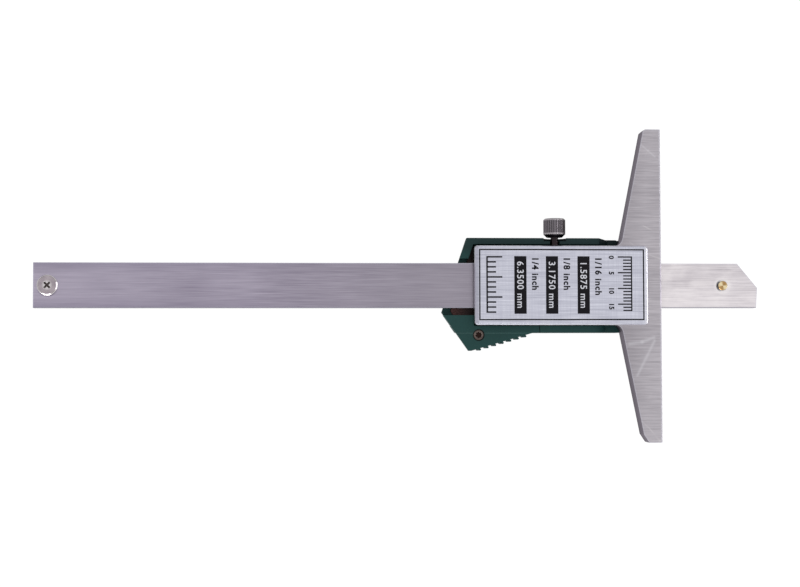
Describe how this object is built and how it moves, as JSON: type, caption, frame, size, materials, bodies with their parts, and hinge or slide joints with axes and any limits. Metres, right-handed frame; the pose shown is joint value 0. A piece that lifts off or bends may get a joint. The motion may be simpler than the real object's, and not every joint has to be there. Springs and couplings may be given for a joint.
{
  "type": "digital depth gauge",
  "caption": "Digital depth gauge: a T-shaped steel base whose slider carries a display housing, lock screw and nameplate, with a flat steel beam running through it.",
  "frame": {"origin": "middle of the base's measuring face, on the beam's centre line and at mid thickness of the beam", "axes": "+X along the beam, out of the measaring face towards the tip; +Y across the beam, towards the lock screw; +Z out of the back, where the nameplate is. The gauge lies on its display side."},
  "size_m": [0.2294, 0.1, 0.0145],
  "materials": {
    "beam_steel": "brushed along its length",
    "base_steel": "fine ground",
    "scale_film": "satin film",
    "nickel": "nickel plated",
    "brass": "turned",
    "plate": "brushed and printed",
    "lock_metal": "knurled, dark nickel",
    "dark_screw": "dark plated",
    "green_shell": "fine moulded texture",
    "board": "brown circuit board",
    "chip_black": "cured resin",
    "lcd_glass": "grey-green display",
    "white_plastic": "moulded",
    "zebra_rubber": "silicone",
    "window_clear": "clear acrylic",
    "panel": "brushed",
    "button_orange": "moulded",
    "button_grey": "moulded",
    "gold_contact": "gold plated",
    "cell_steel": "stainless",
    "port_black": "moulded"
  },
  "bodies": {
    "head": {"base_frame": "base_steel", "nameplate": "plate", "gib_strip": "brass", "gib_screws": "dark_screw", "front_housing": "green_shell", "thumb_grip": "green_shell", "housing_screws": "dark_screw", "grip_screw": "dark_screw", "circuit_board": "board", "board_chips": "chip_black", "lcd_panel": "lcd_glass", "lcd_tray": "white_plastic", "zebra_strips": "zebra_rubber", "lcd_window": "window_clear", "front_panel": "panel", "button_domes": "gold_contact", "coin_cell": "cell_steel", "negative_contact": "nickel", "positive_contact": "nickel", "port_contacts": "gold_contact"},
    "beam": {"beam": "beam_steel", "scale_strip": "scale_film", "stop_screw": "nickel", "stop_pin": "brass"},
    "lock_pad": {"lock_pad": "brass"},
    "lock_screw": {"lock_screw": "lock_metal"},
    "power_button": {"power_button": "button_orange"},
    "zero_button": {"zero_button": "button_grey"},
    "unit_button": {"unit_button": "button_grey"},
    "battery_cover": {"battery_cover": "green_shell"},
    "port_cover": {"port_cover": "port_black"}
  },
  "joints": [
    {"name": "beam_slide", "type": "slide", "parent": "head", "child": "beam", "axis": [1, 0, 0], "range_m": [-0.0316, 0.1184]},
    {"name": "lock_advance", "type": "slide", "parent": "head", "child": "lock_pad", "axis": [0, 1, 0], "range_m": [-0.000075, 0.000675]},
    {"name": "lock_turn", "type": "hinge", "parent": "lock_pad", "child": "lock_screw", "pos_m": [-0.03385, 0.0155, 0.0002], "axis": [0, 1, 0], "range_deg": [-60, 540]},
    {"name": "power_press", "type": "slide", "parent": "head", "child": "power_button", "axis": [0, 0, 1], "range_m": [0, 0.0004], "stiffness_N_per_m": 3000, "springref_m": -0.0002},
    {"name": "zero_press", "type": "slide", "parent": "head", "child": "zero_button", "axis": [0, 0, 1], "range_m": [0, 0.0004], "stiffness_N_per_m": 3000, "springref_m": -0.0002},
    {"name": "unit_press", "type": "slide", "parent": "head", "child": "unit_button", "axis": [0, 0, 1], "range_m": [0, 0.0004], "stiffness_N_per_m": 3000, "springref_m": -0.0002},
    {"name": "battery_cover_slide", "type": "slide", "parent": "head", "child": "battery_cover", "axis": [-1, 0, 0], "range_m": [0, 0.025]},
    {"name": "port_cover_pull", "type": "slide", "parent": "head", "child": "port_cover", "axis": [0, 1, 0], "range_m": [0, 0.006]}
  ],
  "couplings": [
    {"joint": "lock_turn", "follows": "lock_advance", "rad_per_m": 13963}
  ]
}
